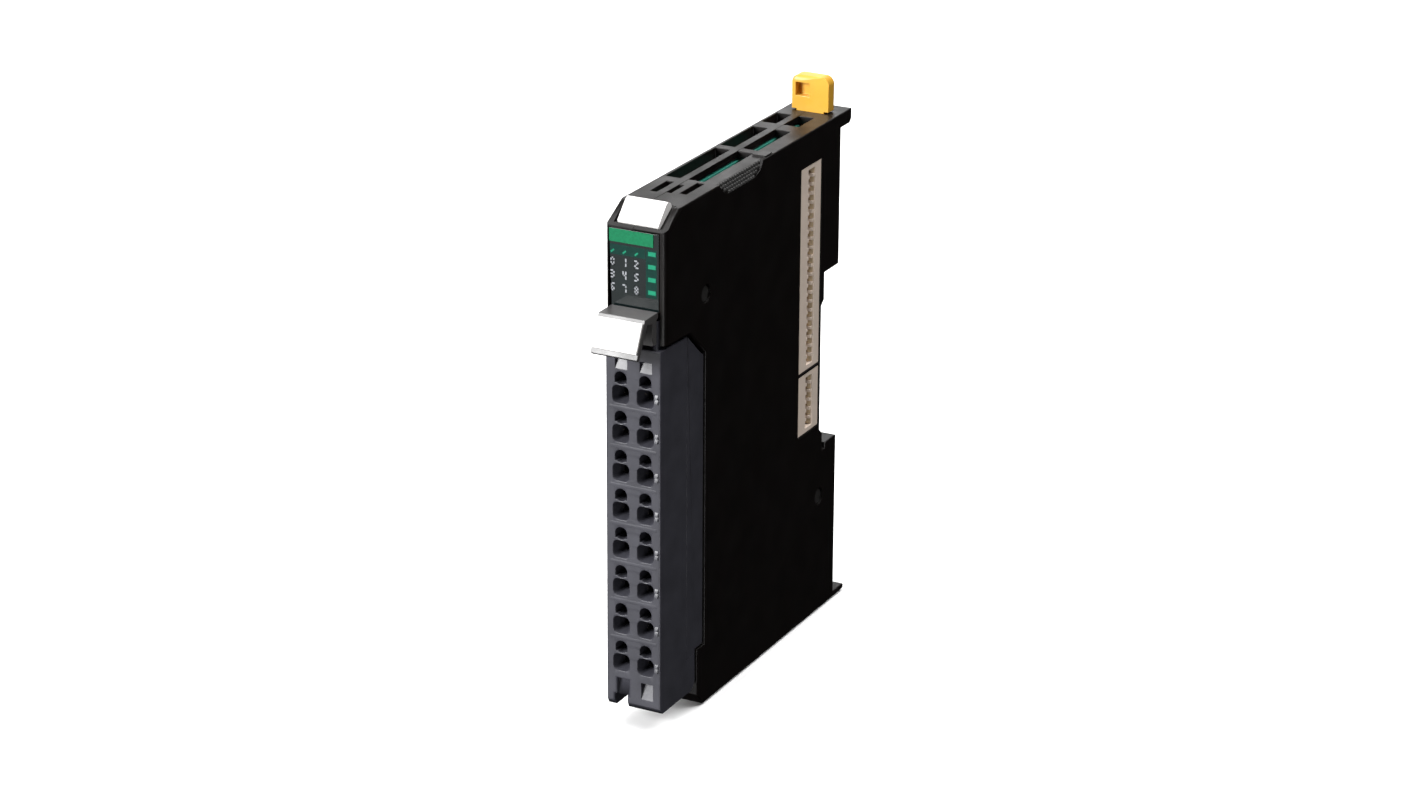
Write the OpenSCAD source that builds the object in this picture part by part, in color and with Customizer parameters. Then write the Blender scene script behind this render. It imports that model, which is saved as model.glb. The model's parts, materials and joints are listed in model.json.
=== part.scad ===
// Slice-type remote I/O module for a 35 mm top-hat rail, with a removable push-in terminal block.
// X is the width, Y runs from the front to the rail and Z is up. The origin is the middle of the
// rail's front face. Inside at_rail() every size is measured from the front panel (Y = 0) and
// from the bottom of the case (Z = 0).

/* [Case] */
// Width of the module, one pitch on the rail
case_w = 12; // [12:0.5:24]
// Height of the case
case_h = 100; // [100:1:104]
// Depth from the indicator panel to the rear plane
case_d = 71; // [71:0.5:74]
// Thickness of the case walls
wall = 1.2; // [1:0.1:1.4]
// Length of the guide lips behind the rear plane
lip_l = 4.6; // [3:0.1:6]
// Joint plane between the two case halves
split_x = -0.6; // [-0.7:0.1:-0.5]

/* [Rail] */
// Height of the rail that the slot takes
rail_h = 35; // [35:0.1:35.3]
// Height of the middle of the rail above the case bottom
rail_mid_z = 51; // [50.8:0.1:51.2]
// Depth of the rail slot, from its lands to the rear plane
slot_d = 6.2; // [5.8:0.1:6.4]

/* [Terminal block] */
// Number of rows of terminals
rows = 8; // [4:1:8]
// Distance between rows
row_pitch = 7.51; // [7.2:0.01:7.52]
// Distance between the two columns
col_pitch = 5; // [4.8:0.1:5.1]
// Height of the lowest row's centre
row_first_z = 14.6; // [14.6:0.1:15]
// Depth of the bay that the block sits in
bay_d = 15.6; // [15.6:0.1:16]
// How far the block's front stands before the panel
block_proud = 1.2; // [0.8:0.1:1.6]

/* [Bus connector] */
// Distance between neighbouring bus contacts
bus_pitch = 1.8; // [1.7:0.01:1.83]
// Number of contact pairs in the long connector
bus_long_n = 22; // [10:1:22]
// Number of contact pairs in the short connector
bus_short_n = 6; // [3:1:6]
// How far the plug's tongue stands out of the left side
tongue_l = 1.8; // [1.2:0.1:2.2]

/* [DIN hook] */
// Width of the hook's head
hook_w = 7.8; // [7:0.1:8]
// Height of the hook's head above the case
hook_h = 6.8; // [5:0.1:8]
// Distance that the hook slides up to let the rail go
hook_travel = 3.5; // [2.5:0.1:3.5]

/* [Hidden] */
$fn = 48;

eps = 0.01;
gap = 0.1;
half_w = case_w / 2;
inner_w = half_w - wall;
rail_face_y = case_d - slot_d;
rear_y = case_d;

// Front head of the case
head_floor_z = 81;
head_rise = 3.2;
head_run = 5;
cheek_in = 4.85;
panel_top_z = case_h - head_rise;
side_dimples = [[15.4, 81], [63.6, 24.2]];

// Rail slot
slot_top_z = 70;
slot_floor_z = rail_mid_z - rail_h / 2 - 0.1;
land_relief = 1.2;
land_top_h = 5.4;
land_low_h = 3.8;
claw_rise = 1.2;
claw_gap = 1.4;
seat_inner_y = rail_face_y - land_relief - 0.7;

// Block pivot, a bar on a tongue that stands out of the bottom of the bay
pivot_y = 10;
pivot_z = 6.4;
pivot_r = 1.2;
pivot_fit = 0.05;
pivot_bar_hw = 5;
arm_hw = 3.2;
arm_r = 2;
foot_r = 2.3;
foot_wall_y = bay_d - 3;
ledge_z = 11.8;

// DIN hook channel
hook_y0 = 68.3;
rail_t = 1.2;
hook_t = 2.4;
core_w = hook_w - 2;
head_y0 = 69.6;
hook_claw_z = 66.9;
channel_fit = 0.2;

// Bus connectors
bus_y = [54.1, 62.7];
bus_slot_y = [57.4, 60.2];
bus_slot_x = 3.9;
bus_long_z = [52.5, 93.4];
bus_short_z = [39.6, 51.8];
bus_face_inset = 0.1;

// Circuit board, and the posts that hold it from both sides
board_x = [-2.1, -0.5];
board_posts = [[24, 8], [24, 90], [58, 20], [42, 60]];

// Terminal block
block_hw = 5.6;
nose_hw = 4.6;
block_front_y = -block_proud;
block_rear_y = bay_d - 0.3;
block_split_y = 9;
cover_low_z = 11.3;
block_low_z = 4.2;
block_top_z = 75;
nose_top_z = 80.4;
cell_w = 4.3;
cell_h = 6.5;
entry_w = 3.4;
entry_dz = -1.5;
release_dz = 1.65;
columns = [-col_pitch / 2, col_pitch / 2];
row_zs = [for (i = [0 : rows - 1]) row_first_z + i * row_pitch];
last_row_z = row_zs[rows - 1];

// Lock lever
lever_hw = 4.7;
lever_arm_hw = 3.4;
lever_y = 8.5;
lever_z = 77.6;
lever_pin_r = 1;

// Axes moved so that the origin is the middle of the rail's front face.
module at_rail() {
    translate([0, -rail_face_y, -rail_mid_z]) children();
}

// Box between two limits on each axis.
module box(x, y, z) {
    translate([x[0], y[0], z[0]]) cube([x[1] - x[0], y[1] - y[0], z[1] - z[0]]);
}

// Side profile, given as [Y, Z] points, extruded across the width from x[0] to x[1].
module profile(x, points) {
    translate([x[0], 0, 0]) rotate([90, 0, 90]) linear_extrude(x[1] - x[0]) polygon(points);
}

// Round bar along X.
module bar_x(x, y, z, r) {
    translate([x[0], y, z]) rotate([0, 90, 0]) cylinder(h = x[1] - x[0], r = r);
}

// Both columns and all rows of the terminal block.
module each_cell() {
    for (x = columns, z = row_zs) translate([x, 0, z]) children();
}

// ---------------------------------------------------------------- case

function case_outline() = [
    [0, panel_top_z], [head_run, case_h], [rear_y + lip_l, case_h],
    [rear_y + lip_l, case_h - 2], [rear_y + lip_l - 0.8, case_h - 2.8], [rear_y, case_h - 2.8],
    [rear_y, slot_top_z], [rail_face_y, slot_top_z], [rail_face_y, slot_top_z - land_top_h],
    [rail_face_y - land_relief, slot_top_z - land_top_h - 1],
    [rail_face_y - land_relief, slot_floor_z + land_low_h + 1],
    [rail_face_y, slot_floor_z + land_low_h], [rail_face_y, slot_floor_z],
    [rail_face_y + claw_gap, slot_floor_z], [rail_face_y + claw_gap, slot_floor_z + claw_rise],
    [rear_y, slot_floor_z + claw_rise], [rear_y, 1], [rear_y + lip_l, 1], [rear_y + lip_l, 0],
    [bay_d - 0.8, 0], [foot_wall_y, 2.6], [foot_wall_y, ledge_z], [bay_d, ledge_z],
    [bay_d, slot_top_z - 0.2], [9.4, block_top_z + 0.3], [0, block_top_z + 0.8]];

function cavity_outline() = [
    [1.6, head_floor_z + 1.4], [1.6, panel_top_z - 1.1], [head_run + 0.8, case_h - 1.4],
    [66.7, case_h - 1.4], [66.7, slot_top_z + 1.4], [seat_inner_y, slot_top_z + 1.4],
    [seat_inner_y, slot_floor_z - 1.4], [rear_y - 1.3, slot_floor_z - 1.4], [rear_y - 1.3, 1.4],
    [bay_d + 1.5, 1.4], [bay_d + 1.5, head_floor_z + 1.4]];

// Ventilation slots between two heights, left and right of the middle rib.
module vent_slots(ys, z) {
    for (y = ys) {
        box([-5.2, -2.2], y, z);
        box([split_x, 2.6], y, z);
    }
}

// Slots through the top and the bottom, and three small pockets before the top ones.
module case_vents() {
    top_z = [case_h - 2, case_h + 1];
    vent_slots([[21, 40.5], [42.5, 56], [59.5, 66]], top_z);
    vent_slots([[21, 34], [36, 49], [51, 64]], [-1, 2]);
    box([-3.6, -2.2], [12, 18.5], top_z);
    box([split_x, 0.4], [12.5, 17.5], top_z);
    box([1.8, 3.2], [13, 20], top_z);
}

// Sloping pocket in the top front edge, for the unit marker.
module marker_pocket() {
    translate([0, 0, panel_top_z]) rotate([atan(head_rise / head_run), 0, 0])
        box([-cheek_in, cheek_in], [0.9, 7], [-0.7, 3]);
}

// Finger scoop in the upper edge of the right side.
module side_scoop() {
    translate([half_w, 0, case_h - 2.7]) rotate([0, -14, 0]) profile([-0.02, 3],
        [[19.8, 3.6], [21.6, 1], [24, 0], [34, 0], [36.8, 1], [38.6, 3.6]]);
}

// Channel for the DIN hook, wider inside than at its mouth, with the passage for its claw.
module hook_channel() {
    rail_x = hook_w / 2 + channel_fit;
    core_x = core_w / 2 + channel_fit;
    box([-rail_x, rail_x], [hook_y0 - channel_fit, hook_y0 + rail_t + channel_fit],
        [slot_top_z - 1, case_h - 1.4]);
    box([-core_x, core_x], [hook_y0, rear_y + 1], [slot_top_z - 1, case_h - 2.8]);
    box([-core_x, core_x], [rail_face_y + claw_gap - 0.2, hook_y0 + eps],
        [slot_top_z - 1, slot_top_z + hook_travel + 0.4]);
    box([-core_x, core_x], [head_y0 - channel_fit, head_y0 + hook_t + channel_fit],
        [case_h - 4, case_h + 1]);
}

// Windows for the bus connectors through both side walls.
module bus_windows() {
    for (z = [bus_long_z, bus_short_z], x = [[-half_w - 1, -inner_w + 1], [inner_w - 1, half_w + 1]])
        box(x, [bus_y[0] - gap, bus_y[1] + gap], [z[0] - gap, z[1] + gap]);
}

// Tongue at the bottom of the bay, with the bar that the terminal block hooks over.
module block_pivot() {
    box([-arm_hw, arm_hw], [pivot_y, foot_wall_y + eps], [pivot_z - arm_r, pivot_z + arm_r]);
    bar_x([-arm_hw, arm_hw], pivot_y, pivot_z, arm_r);
    bar_x([-pivot_bar_hw, pivot_bar_hw], pivot_y, pivot_z, pivot_r);
}

// The whole case before it is divided into its halves.
module case_shape() {
    difference() {
        profile([-half_w, half_w], case_outline());
        profile([-inner_w, inner_w], cavity_outline());
        // bay of the terminal block, between the cheeks
        box([-cheek_in, cheek_in], [-1, bay_d], [block_top_z - 20, head_floor_z]);
        // opening that the header fills
        box([-cheek_in, cheek_in], [bay_d - 1, bay_d + 2],
            [row_first_z - 2.6, last_row_z + 2.6]);
        // window of the indicator panel, with its step
        box([-5.5, 4.7], [-1, 2], [head_floor_z + 0.8, panel_top_z - 0.3]);
        box([-inner_w, 4.4], [0.5, 3], [head_floor_z + 1.4, panel_top_z - 1.1]);
        marker_pocket();
        case_vents();
        side_scoop();
        hook_channel();
        bus_windows();
        for (p = side_dimples) bar_x([half_w - 0.4, half_w + 1], p[0], p[1], 1.8);
    }
    block_pivot();
}

module case_left() {
    color("#1b1b1d") at_rail() {
        intersection() {
            case_shape();
            box([-half_w - 1, split_x], [-5, rear_y + 10], [-5, case_h + 5]);
        }
        for (p = board_posts) bar_x([-inner_w - eps, board_x[0] - 0.02], p[0], p[1], 1.1);
    }
}

module case_right() {
    color("#18181a") at_rail() {
        intersection() {
            case_shape();
            box([split_x, half_w + 1], [-5, rear_y + 10], [-5, case_h + 5]);
        }
        for (p = board_posts) bar_x([board_x[1] + 0.02, inner_w + eps], p[0], p[1], 0.9);
    }
}

// ---------------------------------------------------------------- indicator head

module indicator_window() {
    color("#10181a") at_rail() {
        box([-5.4, 4.6], [0.05, 0.5], [head_floor_z + 0.9, panel_top_z - 0.4]);
        box([-inner_w + gap, 4.3], [0.5 - eps, 1.2], [head_floor_z + 1.5, panel_top_z - 1.2]);
    }
}

module label_strip() {
    color("#2faf74") at_rail()
        box([-5.3, 3.5], [-0.07, 0.05], [93.9, 96.3]);
}

mark_xs = [-4.1, -1.5, 1.1, 3.6];
mark_zs = [84.2, 86.8, 89.4, 92];

// Four by four light pipes on one backing plate.
module light_guide() {
    color("#dfe6e8") at_rail() {
        box([-4.6, 4.2], [3, 4.2], [83.2, 93.2]);
        for (x = mark_xs, z = mark_zs) box([x - 0.5, x + 0.5], [1.3, 3 + eps], [z - 0.5, z + 0.5]);
    }
}

module status_leds() {
    color("#cfd8d0") at_rail()
        for (x = mark_xs, z = mark_zs) box([x - 0.4, x + 0.4], [4.3, 4.9], [z - 0.4, z + 0.4]);
}

// Wedge-shaped marker that clips into the sloping pocket.
module unit_marker() {
    color("#f4f4f4") at_rail() translate([0, 0, panel_top_z])
        rotate([atan(head_rise / head_run), 0, 0]) profile([-4.1, 4.1],
            [[1, -0.65], [1, 0.15], [1.3, 0.4], [5.4, 1.35], [6.1, 1.25], [6.7, 0.3], [6.7, -0.4],
            [6.4, -0.65]]);
}

// ---------------------------------------------------------------- electronics

module circuit_board() {
    color("#1f6b4a") at_rail() {
        profile(board_x, [[17.8, 2], [17.8, 82.9], [8, 82.9], [8, 96], [10, 98.2], [66.2, 98.2],
            [66.2, 72], [61.9, 72], [61.9, 31.2], [69.2, 31.2], [69.2, 2]]);
        // small board that carries the lamps, soldered across the front
        box([-4.6, 4.2], [4.95, 5.9], [83.2, 93.2]);
        box(board_x, [5.9 - eps, 8 + eps], [86, 90]);
    }
}

module front_header() {
    color("#26262a") at_rail() difference() {
        box([-cheek_in + 0.05, cheek_in - 0.05], [bay_d, bay_d + 1.4],
            [row_first_z - 2.5, last_row_z + 2.5]);
        each_cell() box([-0.3, 0.3], [bay_d - 1, bay_d + 2], [-1, 1]);
    }
}

module header_blades() {
    color("#d8d4c8") at_rail() {
        each_cell() box([-0.3, 0.3], [bay_d - 3.2, bay_d + 1.7], [-1, 1]);
        for (z = row_zs) {
            box([columns[0] - 0.3, board_x[0]], [bay_d + 1.7 - eps, bay_d + 2.1], [z - 1, z + 1]);
            box([columns[0] - 0.3, board_x[0] - 0.02], [bay_d + 2, bay_d + 4], [z - 1, z + 1]);
            box([board_x[1] + 0.02, columns[1] + 0.3], [bay_d + 1.7 - eps, bay_d + 2.1],
                [z - 1, z + 1]);
        }
    }
}

// Female half: a block with one long slot.
module bus_socket(z) {
    color("#e6dcc8") at_rail() difference() {
        box([board_x[1] + 0.02, half_w - bus_face_inset], bus_y, z);
        box([bus_slot_x, half_w + 1], bus_slot_y, [z[0] + 0.9, z[1] - 0.9]);
    }
}

module bus_socket_long() {
    bus_socket(bus_long_z);
}

module bus_socket_short() {
    bus_socket(bus_short_z);
}

// Height of contact i of n, spread about the middle of the connector z.
function contact_z(z, n, i) = (z[0] + z[1]) / 2 + (i - (n - 1) / 2) * bus_pitch;
contact_zs = concat([for (i = [0 : bus_long_n - 1]) contact_z(bus_long_z, bus_long_n, i)],
    [for (i = [0 : bus_short_n - 1]) contact_z(bus_short_z, bus_short_n, i)]);
contact_w = 1;
leaf_t = 0.5;

module bus_socket_contacts() {
    color("#c9a05a") at_rail() for (z = contact_zs) {
        box([bus_slot_x, 5.5], [bus_slot_y[0], bus_slot_y[0] + leaf_t],
            [z - contact_w / 2, z + contact_w / 2]);
        box([bus_slot_x, 5.5], [bus_slot_y[1] - leaf_t, bus_slot_y[1]],
            [z - contact_w / 2, z + contact_w / 2]);
    }
}

tongue_y = [58.2, 59.4];
pad_t = 0.15;

// Male half: a block with a tongue that enters the neighbour's slot.
module bus_plug(z) {
    color("#e6dcc8") at_rail() {
        box([-half_w, board_x[0] - 0.02], bus_y, z);
        box([-half_w - tongue_l, -half_w + eps], tongue_y, [z[0] + 1.1, z[1] - 1.1]);
    }
}

module bus_plug_long() {
    bus_plug(bus_long_z);
}

module bus_plug_short() {
    bus_plug(bus_short_z);
}

module bus_plug_contacts() {
    color("#c9a05a") at_rail() for (z = contact_zs, y = [tongue_y[0] - pad_t, tongue_y[1]])
        box([-half_w - tongue_l + 0.2, -half_w], [y, y + pad_t],
            [z - contact_w / 2 + 0.1, z + contact_w / 2 - 0.1]);
}

module bus_controller_chip() {
    color("#202022") at_rail() box([board_x[1] + 0.02, board_x[1] + 1.4], [36, 48], [74, 86]);
}

module channel_isolators() {
    color("#2b2b2b") at_rail() for (y = [27, 35], z = row_zs)
        box([board_x[1] + 0.02, board_x[1] + 2.2], [y, y + 4.4], [z - 2, z + 1.6]);
}

module chip_resistors() {
    color("#303030") at_rail() for (y = [21, 22.8], z = row_zs)
        box([board_x[1] + 0.02, board_x[1] + 0.6], [y, y + 1.2], [z - 0.8, z + 1.2]);
}

module chip_capacitors() {
    color("#b09468") at_rail() for (i = [0 : 5])
        box([board_x[0] - 1, board_x[0] - 0.02], [20 + 6 * i, 22 + 6 * i], [76, 79.2]);
}

module power_inductor() {
    color("#3a3a3c") at_rail() box([board_x[1] + 0.02, board_x[1] + 3.6], [44, 50], [40, 46]);
}

module bulk_capacitors() {
    color("#8b8f94") at_rail() for (z = [52, 60.5])
        bar_x([board_x[1] + 0.02, board_x[1] + 4.6], 49, z, 3);
}

// ---------------------------------------------------------------- DIN hook

module din_hook() {
    color("#f0c24a") at_rail() {
        core_x = core_w / 2;
        head_r = 1.7;
        box([-hook_w / 2, hook_w / 2], [hook_y0, hook_y0 + rail_t], [hook_claw_z + 5, 94.9]);
        box([-core_x, core_x], [hook_y0, hook_y0 + hook_t], [hook_claw_z, 94.9]);
        box([-core_x, core_x], [head_y0, head_y0 + hook_t - 0.4], [92, case_h + 0.3]);
        profile([-core_x, core_x], [[rail_face_y + claw_gap + 0.1, hook_claw_z + 0.9],
            [rail_face_y + claw_gap + 0.1, hook_claw_z + 2.4], [hook_y0 + eps, hook_claw_z + 2.9],
            [hook_y0 + eps, hook_claw_z]]);
        difference() {
            translate([0, head_y0 + hook_t, case_h + 0.2]) rotate([90, 0, 0]) linear_extrude(hook_t)
                union() {
                    translate([-hook_w / 2, 0]) square([hook_w, hook_h - head_r]);
                    translate([-hook_w / 2 + head_r, 0]) square([hook_w - 2 * head_r, hook_h]);
                    for (x = [-1, 1]) translate([x * (hook_w / 2 - head_r), hook_h - head_r])
                        circle(r = head_r);
                }
            // tool pocket in the front of the head
            box([-3.1, -0.2], [head_y0 - 1, head_y0 + 1.5], [case_h + 2.8, case_h + 5.4]);
        }
    }
}

// ---------------------------------------------------------------- terminal block

function block_outline() = [
    [block_front_y, block_low_z + 0.8], [block_front_y + 0.8, block_low_z],
    [pivot_y, block_low_z], [pivot_y + foot_r, pivot_z],
    [pivot_y + foot_r, ledge_z + 0.3], [block_rear_y, ledge_z + 0.3], [block_rear_y, 69.4],
    [14.3, slot_top_z], [9.2, block_top_z - 0.4], [block_front_y, block_top_z]];

// Everything in front of, or behind, the plane where the two shells of the block meet.
module block_half(y) {
    box([-block_hw - 1, block_hw + 1], y, [-5, case_h]);
}

// Tapered square funnel of a wire entry, on the block's front face. It is where two wedges cross,
// one narrowing in height and one in width.
module wire_entry() {
    mouth = entry_w / 2;
    throat = 1.15;
    taper = [[-0.1, -mouth], [2.4, -throat], [2.4, throat], [-0.1, mouth]];
    translate([0, block_front_y, entry_dz]) {
        intersection() {
            profile([-mouth, mouth], taper);
            rotate([0, -90, 0]) profile([-mouth, mouth], taper);
        }
        box([-throat, throat], [2, 6], [-throat, throat]);
    }
}

// Domed slot for the release tool.
module release_slot() {
    r = 1.2;
    translate([0, block_front_y, release_dz]) {
        rotate([-90, 0, 0]) translate([0, 0, -1]) cylinder(h = 6, r = r);
        box([-r, r], [-1, 5], [-0.9, 0]);
    }
}

// Chamber behind each pair of openings.
module cell_chamber(y) {
    box([-cell_w / 2, cell_w / 2], y, [-cell_h / 2, cell_h / 2]);
}

// Space for the case's pivot tongue, open to the rear and below so that the block can tilt, and
// the slots that snap over the ends of the bar.
module pivot_space() {
    bar_x([-arm_hw - 0.2, arm_hw + 0.2], pivot_y, pivot_z, arm_r + 0.25);
    box([-arm_hw - 0.2, arm_hw + 0.2], [pivot_y - 0.4, bay_d],
        [block_low_z - 1, pivot_z + arm_r]);
    bar_x([-pivot_bar_hw - 0.1, pivot_bar_hw + 0.1], pivot_y, pivot_z, pivot_r + pivot_fit);
    box([-pivot_bar_hw - 0.1, pivot_bar_hw + 0.1], [pivot_y, bay_d],
        [pivot_z - pivot_r + 0.25, pivot_z + pivot_r - 0.25]);
}

module block_shape() {
    difference() {
        union() {
            profile([-block_hw, block_hw], block_outline());
            bar_x([-block_hw, block_hw], pivot_y, pivot_z, foot_r);
            box([-nose_hw, nose_hw], [-0.6, 11.4], [block_top_z - 3, nose_top_z]);
        }
        pivot_space();
        // space for the lever, with its pivot bores
        box([-lever_arm_hw - 0.2, lever_arm_hw + 0.2], [-3, 10.4], [block_top_z, case_h]);
        bar_x([-nose_hw - 1, nose_hw + 1], lever_y, lever_z, lever_pin_r + pivot_fit);
        // gap between the two feet of the block
        box([-3.9, -1.4], [-3, 5.4], [0, 6.6]);
    }
}

// Sloping scoop in the block's front, from height z up, deepest at its top.
module front_scoop(x, z, h, deep) {
    profile([x - 1.2, x + 1.2], [[block_front_y - 1, z + h], [block_front_y - 1, z],
        [block_front_y, z], [block_front_y + deep, z + h]]);
}

module block_housing() {
    color("#4a4a50") at_rail() difference() {
        intersection() {
            block_shape();
            union() {
                block_half([-5, block_split_y]);
                box([-nose_hw, nose_hw], [-5, bay_d], [block_top_z - 3, case_h]);
                box([-block_hw - 1, block_hw + 1], [-5, bay_d], [-5, cover_low_z]);
            }
        }
        each_cell() {
            wire_entry();
            release_slot();
            cell_chamber([2.6, block_split_y + 1]);
        }
        for (x = columns) {
            front_scoop(x + 0.1, last_row_z + 3.4, 2, 0.9);
            front_scoop(x + 0.3, row_first_z - 8, 3.2, 1.2);
        }
    }
}

module block_rear_cover() {
    color("#3f3f45") at_rail() difference() {
        intersection() {
            profile([-block_hw, block_hw], block_outline());
            box([-block_hw - 1, block_hw + 1], [block_split_y, bay_d], [cover_low_z, block_top_z]);
        }
        box([-nose_hw - gap / 2, nose_hw + gap / 2], [0, bay_d], [block_top_z - 3, case_h]);
        each_cell() {
            cell_chamber([block_split_y - 1, 11.9]);
            box([-1.4, 1.4], [11, 14], [-2.2, 1.8]);
            // tall enough for the blade to swing out as the block tilts
            box([-0.8, 0.8], [13, bay_d], [-2.9, 1.8]);
        }
    }
}

spring_t = 0.3;
spring_w = 2;

// Bent steel strip that presses the wire onto the current bar.
module clamp_spring() {
    loop_r = 1.3;
    hw = spring_w / 2;
    translate([0, 9.3, 1.4]) {
        difference() {
            bar_x([-hw, hw], 0, 0, loop_r);
            bar_x([-hw - 1, hw + 1], 0, 0, loop_r - spring_t);
            box([-hw - 1, hw + 1], [-3, 0], [-3, 3]);
        }
        box([-hw, hw], [-5.6, 0], [loop_r - spring_t, loop_r]);
        profile([-hw, hw], [[0, -loop_r], [-4.4, -3.1], [-4.4, -3.1 + spring_t * 1.3],
            [0, -loop_r + spring_t]]);
    }
}

module clamp_springs() {
    color("#c4c8cc") at_rail() each_cell() clamp_spring();
}

// Tinned copper bar with the fork that grips a header blade.
module current_bar() {
    box([-1.1, 1.1], [3.2, 11.6], [-3.1, -2.6]);
    box([-0.75, 0.75], [11.2, 11.6], [-2.6 - eps, 1]);
    for (s = [-1, 1]) box([s * 0.575 - 0.175, s * 0.575 + 0.175], [11.6 - eps, 13.9], [-1, 1]);
}

module current_bars() {
    color("#d9c9a0") at_rail() each_cell() current_bar();
}

// ---------------------------------------------------------------- lock lever

module lock_lever() {
    color("#5a5a5e") at_rail() {
        // sloping plate and its top
        profile([-lever_hw, lever_hw], [[-0.4, 82.2], [-5.2, 82.2], [-8.3, 75.6], [-7.5, 75.1],
            [-4.4, 81], [-2.5, 80.6], [-2.5, 76.4], [-0.95, 76.4], [-0.95, 80.9], [-0.4, 81.1]]);
        profile([-lever_arm_hw, lever_arm_hw], [[-1, 76.4], [lever_y, lever_z - 1.2],
            [lever_y + 1, lever_z - 1], [lever_y + 1, lever_z + 1], [3.4, 80.6], [-1, 80.85]]);
        bar_x([-nose_hw + 0.1, nose_hw - 0.1], lever_y, lever_z, lever_pin_r);
    }
}

module lever_marker() {
    color("#f4f4f4") at_rail() translate([0, -5.2, 82.2])
        rotate([atan2(-6.6, -3.1) + 180, 0, 0]) box([-4.5, 4.5], [-6.3, -0.7], [0, 0.5]);
}

case_left();
case_right();
indicator_window();
label_strip();
light_guide();
status_leds();
unit_marker();
circuit_board();
front_header();
header_blades();
bus_socket_long();
bus_socket_short();
bus_socket_contacts();
bus_plug_long();
bus_plug_short();
bus_plug_contacts();
bus_controller_chip();
channel_isolators();
chip_resistors();
chip_capacitors();
power_inductor();
bulk_capacitors();
din_hook();
block_housing();
block_rear_cover();
clamp_springs();
current_bars();
lock_lever();
lever_marker();
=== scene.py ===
import bpy
import bmesh
import json
import math
from mathutils import Vector, Matrix


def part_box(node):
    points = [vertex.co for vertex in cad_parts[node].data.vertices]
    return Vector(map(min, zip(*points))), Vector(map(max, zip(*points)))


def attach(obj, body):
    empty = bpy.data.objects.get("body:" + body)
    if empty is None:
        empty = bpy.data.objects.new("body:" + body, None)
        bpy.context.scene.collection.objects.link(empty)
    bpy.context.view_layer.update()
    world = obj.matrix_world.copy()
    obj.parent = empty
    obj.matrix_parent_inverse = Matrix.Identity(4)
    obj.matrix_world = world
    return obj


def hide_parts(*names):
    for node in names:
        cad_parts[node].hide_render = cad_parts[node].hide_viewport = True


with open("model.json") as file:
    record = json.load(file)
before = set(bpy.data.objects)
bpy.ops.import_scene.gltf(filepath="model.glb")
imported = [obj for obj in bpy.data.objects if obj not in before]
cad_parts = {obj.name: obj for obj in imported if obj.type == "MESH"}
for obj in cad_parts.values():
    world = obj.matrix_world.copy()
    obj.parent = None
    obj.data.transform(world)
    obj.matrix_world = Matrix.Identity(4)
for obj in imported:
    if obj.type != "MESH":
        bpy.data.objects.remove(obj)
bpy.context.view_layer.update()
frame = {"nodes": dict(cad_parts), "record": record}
RECORD = frame["record"]
BODY = {n: b for b, ns in RECORD["behaviour"]["bodies"].items() for n in ns}
SLOT = {s["node"]: s["material_slot"] for s in RECORD["subparts"]}

# Shapes are drawn in millimetres. x is measured from the middle of the module, y from its front panel
# and z from the bottom of its case, and PLACE carries them into the frame.
MM = 0.001
CASE_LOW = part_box("case_left")[0]
PLACE = Matrix.Translation((0, CASE_LOW.y, CASE_LOW.z)) @ Matrix.Scale(MM, 4)
BACK = PLACE.inverted()


def at(x, y, z):
    return PLACE @ Vector((x, y, z))


def limits(node):
    """Lowest and highest corner of a CAD node, in the drawing's millimetres."""
    low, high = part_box(node)
    return BACK @ low, BACK @ high


# ---------------------------------------------------------------- camera, light and floor

VIEW_AZIMUTH, VIEW_ELEVATION, VIEW_ROLL = 27.317, 20.921, 0.3
VIEW_TARGET = (-3.221, 35, 52.501)
VIEW_DISTANCE_M = 0.7197
LENS_MM, SENSOR_MM = 97.28, 36


def make_camera():
    azimuth, elevation, roll = (math.radians(a) for a in (VIEW_AZIMUTH, VIEW_ELEVATION, VIEW_ROLL))
    back = Vector((math.sin(azimuth) * math.cos(elevation), -math.cos(azimuth) * math.cos(elevation),
                   math.sin(elevation)))
    data = bpy.data.cameras.new("camera")
    data.sensor_width = SENSOR_MM
    data.lens = LENS_MM
    data.clip_start, data.clip_end = 0.01, 20
    camera = bpy.data.objects.new("camera", data)
    bpy.context.scene.collection.objects.link(camera)
    camera.rotation_mode = "QUATERNION"
    camera.location = at(*VIEW_TARGET) + back * VIEW_DISTANCE_M
    turn = (-back).to_track_quat("-Z", "Y")
    camera.rotation_quaternion = turn @ Matrix.Rotation(roll, 4, "Z").to_quaternion()
    bpy.context.scene.camera = camera


LIGHT_TARGET = (0, 35, 50)
WORLD_STRENGTH = 0.012


def area_light(name, offset, size, power):
    """A panel at an offset from the middle of the case, in metres, facing that middle."""
    data = bpy.data.lights.new(name, "AREA")
    data.shape = "RECTANGLE"
    data.size, data.size_y = size
    data.energy = power
    light = bpy.data.objects.new(name, data)
    bpy.context.scene.collection.objects.link(light)
    light.location = at(*LIGHT_TARGET) + Vector(offset)
    light.rotation_mode = "QUATERNION"
    light.rotation_quaternion = (-Vector(offset)).to_track_quat("-Z", "Y")


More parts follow.
